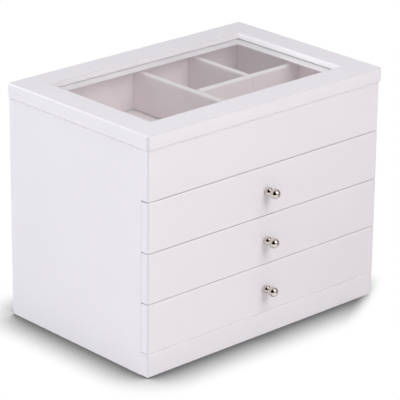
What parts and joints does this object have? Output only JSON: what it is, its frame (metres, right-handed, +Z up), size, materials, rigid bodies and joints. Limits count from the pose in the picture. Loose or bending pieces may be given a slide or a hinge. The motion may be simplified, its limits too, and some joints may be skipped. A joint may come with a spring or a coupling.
{
  "type": "jewelry box with drawers",
  "caption": "Table-top wooden jewelry box: hinged lid with a glass window over a velvet-lined divided tray, and full-width drawers with small ball knobs below.",
  "frame": {"origin": "on the table, under the middle of the case, at the centre of the felt's underside", "axes": "+X along the front towards its right end as a user faces it, +Y from the drawers towards the back, +Z up"},
  "size_m": [0.289, 0.2135, 0.2284],
  "materials": {
    "white_lacquer": "satin white lacquer on fibreboard",
    "inner_board": "thin white paint on fibreboard",
    "drawer_board": "white paint on fibreboard",
    "velvet": "short-pile greige velvet",
    "felt": "pressed felt",
    "glass": "clear float glass",
    "polished_nickel": "polished nickel plate",
    "hinge_steel": "nickel-plated steel",
    "clear_bumper": "clear soft vinyl"
  },
  "bodies": {
    "case": {"left_side": "white_lacquer", "right_side": "white_lacquer", "back_panel": "white_lacquer", "base_board": "inner_board", "shelf_1": "inner_board", "shelf_2": "inner_board", "shelf_3": "inner_board", "tray_floor": "inner_board", "plinth_front": "white_lacquer", "upper_front": "white_lacquer", "base_felt": "felt", "tray_lining_floor": "velvet", "tray_lining_front": "velvet", "tray_lining_back": "velvet", "tray_lining_left": "velvet", "tray_lining_right": "velvet", "divider_long": "velvet", "divider_cross": "velvet", "divider_short": "velvet", "hinge_left_case_leaf": "hinge_steel", "hinge_right_case_leaf": "hinge_steel", "hinge_left_pin": "hinge_steel", "hinge_right_pin": "hinge_steel", "hinge_screws_case": "hinge_steel"},
    "lid": {"lid_rail_front": "white_lacquer", "lid_rail_back": "white_lacquer", "lid_stile_left": "white_lacquer", "lid_stile_right": "white_lacquer", "lid_glass": "glass", "lid_bumpers": "clear_bumper", "hinge_left_lid_leaf": "hinge_steel", "hinge_right_lid_leaf": "hinge_steel", "hinge_screws_lid": "hinge_steel"},
    "drawer_1": {"drawer_1_front": "white_lacquer", "drawer_1_side_left": "drawer_board", "drawer_1_side_right": "drawer_board", "drawer_1_back": "drawer_board", "drawer_1_bottom": "drawer_board", "drawer_1_lining": "velvet", "drawer_1_knob": "polished_nickel", "drawer_1_knob_screw": "hinge_steel"},
    "drawer_2": {"drawer_2_front": "white_lacquer", "drawer_2_side_left": "drawer_board", "drawer_2_side_right": "drawer_board", "drawer_2_back": "drawer_board", "drawer_2_bottom": "drawer_board", "drawer_2_lining": "velvet", "drawer_2_knob": "polished_nickel", "drawer_2_knob_screw": "hinge_steel"},
    "drawer_3": {"drawer_3_front": "white_lacquer", "drawer_3_side_left": "drawer_board", "drawer_3_side_right": "drawer_board", "drawer_3_back": "drawer_board", "drawer_3_bottom": "drawer_board", "drawer_3_lining": "velvet", "drawer_3_knob": "polished_nickel", "drawer_3_knob_screw": "hinge_steel"}
  },
  "joints": [
    {"name": "lid_hinge", "type": "hinge", "parent": "case", "child": "lid", "pos_m": [0, 0.0976, 0.214], "axis": [-1, 0, 0], "range_deg": [0, 95]},
    {"name": "drawer_1_slide", "type": "slide", "parent": "case", "child": "drawer_1", "axis": [0, -1, 0], "range_m": [0, 0.13]},
    {"name": "drawer_2_slide", "type": "slide", "parent": "case", "child": "drawer_2", "axis": [0, -1, 0], "range_m": [0, 0.13]},
    {"name": "drawer_3_slide", "type": "slide", "parent": "case", "child": "drawer_3", "axis": [0, -1, 0], "range_m": [0, 0.13]}
  ]
}
